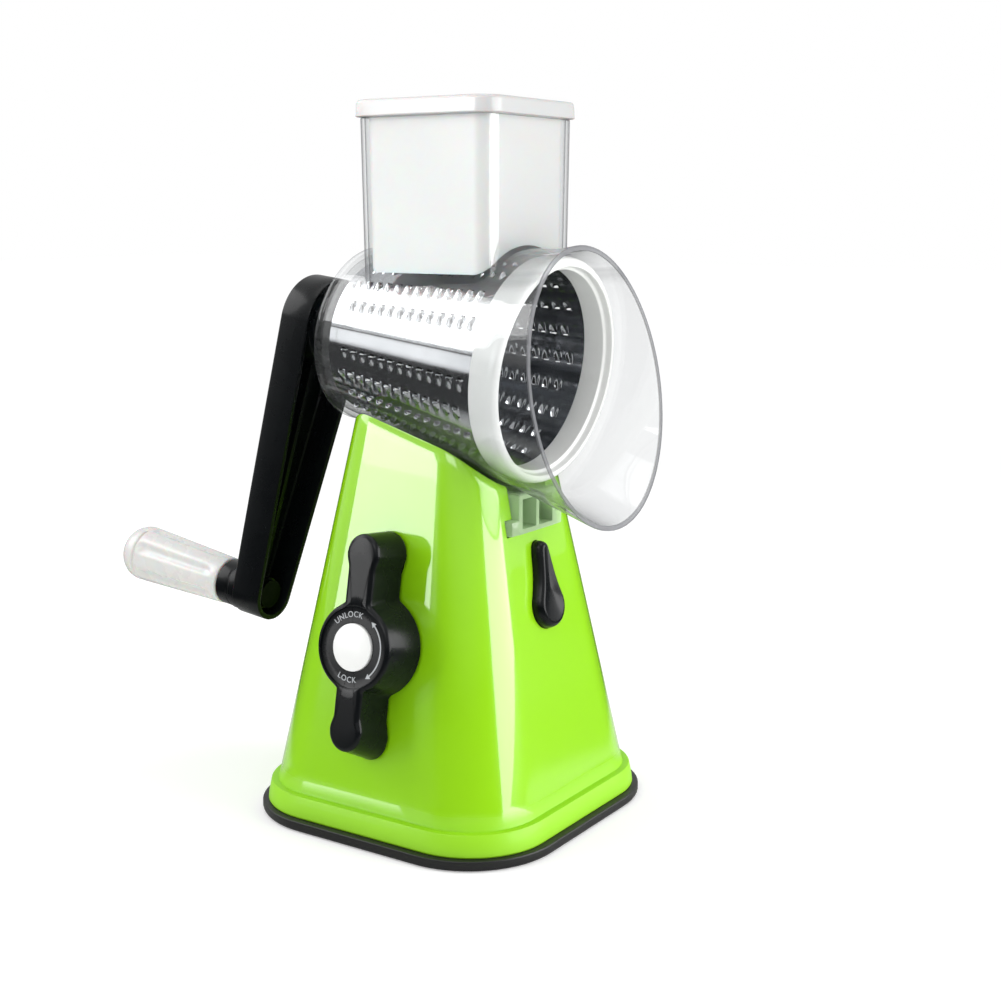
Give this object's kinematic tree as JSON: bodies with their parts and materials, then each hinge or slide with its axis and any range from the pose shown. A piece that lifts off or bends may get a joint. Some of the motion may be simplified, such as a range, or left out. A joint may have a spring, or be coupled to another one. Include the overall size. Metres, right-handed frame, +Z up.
{
  "type": "rotary cheese grater",
  "caption": "Hand-cranked rotary cheese grater: tapered base with suction foot, clear drum housing with chute and guard, pusher, conical steel drum and crank.",
  "frame": {"origin": "middle of the suction foot's flat underside, on the surface it stands on", "axes": "+Z up; +X horizontally towards the outlet guard, away from the crank; the suction knob is on the -Y face and the release button on the +X face"},
  "size_m": [0.2311, 0.1379, 0.28],
  "materials": {
    "green_plastic": "glossy moulded ABS, lime green",
    "black_rubber": "satin rubber",
    "grey_plastic": "matt moulded plastic, inside the base",
    "plain_steel": "plain bright steel",
    "black_plastic": "glossy moulded ABS, black",
    "white_plastic": "smooth moulded plastic, white",
    "clear_plastic": "clear moulded polystyrene",
    "frosted_plastic": "milky translucent moulded plastic",
    "polished_steel": "polished stainless sheet",
    "grip_plastic": "milky translucent moulded plastic"
  },
  "bodies": {
    "base": {"base_body": "green_plastic", "suction_pad": "black_rubber", "base_plate": "grey_plastic", "plate_screws": "plain_steel", "rail_track": "grey_plastic"},
    "knob": {"suction_knob": "black_plastic", "knob_cap": "white_plastic", "knob_screw": "plain_steel", "cam_shaft": "plain_steel", "shaft_clip": "plain_steel"},
    "lift": {"lift_rod": "grey_plastic", "lift_spring": "plain_steel"},
    "button": {"release_button": "black_plastic"},
    "latch": {"latch_bolt": "grey_plastic", "latch_spring": "plain_steel"},
    "housing": {"drum_housing": "clear_plastic"},
    "pusher": {"food_pusher": "frosted_plastic"},
    "crank": {"crank_arm": "black_plastic", "snap_tabs": "black_plastic", "grip_pin": "plain_steel", "grip_clip": "plain_steel"},
    "drum": {"drum_blade": "polished_steel", "drum_ring": "white_plastic", "drum_hub": "white_plastic"},
    "grip": {"crank_grip": "grip_plastic"}
  },
  "joints": [
    {"name": "knob_turn", "type": "hinge", "parent": "base", "child": "knob", "pos_m": [0, -0.04682, 0.0756], "axis": [0, 0.9822, -0.1876], "range_deg": [0, 90]},
    {"name": "foot_lift", "type": "slide", "parent": "base", "child": "lift", "axis": [0, 0, 1], "range_m": [0, 0.0031], "deforming": ["lift_spring"]},
    {"name": "button_press", "type": "slide", "parent": "base", "child": "button", "axis": [-0.9822, 0, -0.1876], "range_m": [0, 0.0025], "stiffness_N_per_m": 300, "springref_m": -0.004},
    {"name": "latch_drop", "type": "slide", "parent": "base", "child": "latch", "axis": [0, 0, -1], "range_m": [0, 0.003], "deforming": ["latch_spring"]},
    {"name": "housing_slide", "type": "slide", "parent": "base", "child": "housing", "axis": [1, 0, 0], "range_m": [0, 0.018]},
    {"name": "pusher_lift", "type": "slide", "parent": "housing", "child": "pusher", "axis": [0, 0, 1], "range_m": [0, 0.08]},
    {"name": "crank_spin", "type": "hinge", "parent": "housing", "child": "crank", "pos_m": [0.0499, 0, 0.179], "axis": [0.9925, 0, -0.1219], "continuous": true},
    {"name": "drum_withdraw", "type": "slide", "parent": "crank", "child": "drum", "axis": [0.9925, 0, -0.1219], "range_m": [0, 0.105]},
    {"name": "grip_spin", "type": "hinge", "parent": "crank", "child": "grip", "pos_m": [-0.12251, -0.02782, 0.08775], "axis": [0.9925, 0, -0.1219], "continuous": true}
  ],
  "couplings": [
    {"joint": "foot_lift", "follows": "knob_turn", "m_per_rad": 0.0019444},
    {"joint": "latch_drop", "follows": "button_press", "ratio": 1.1699}
  ]
}
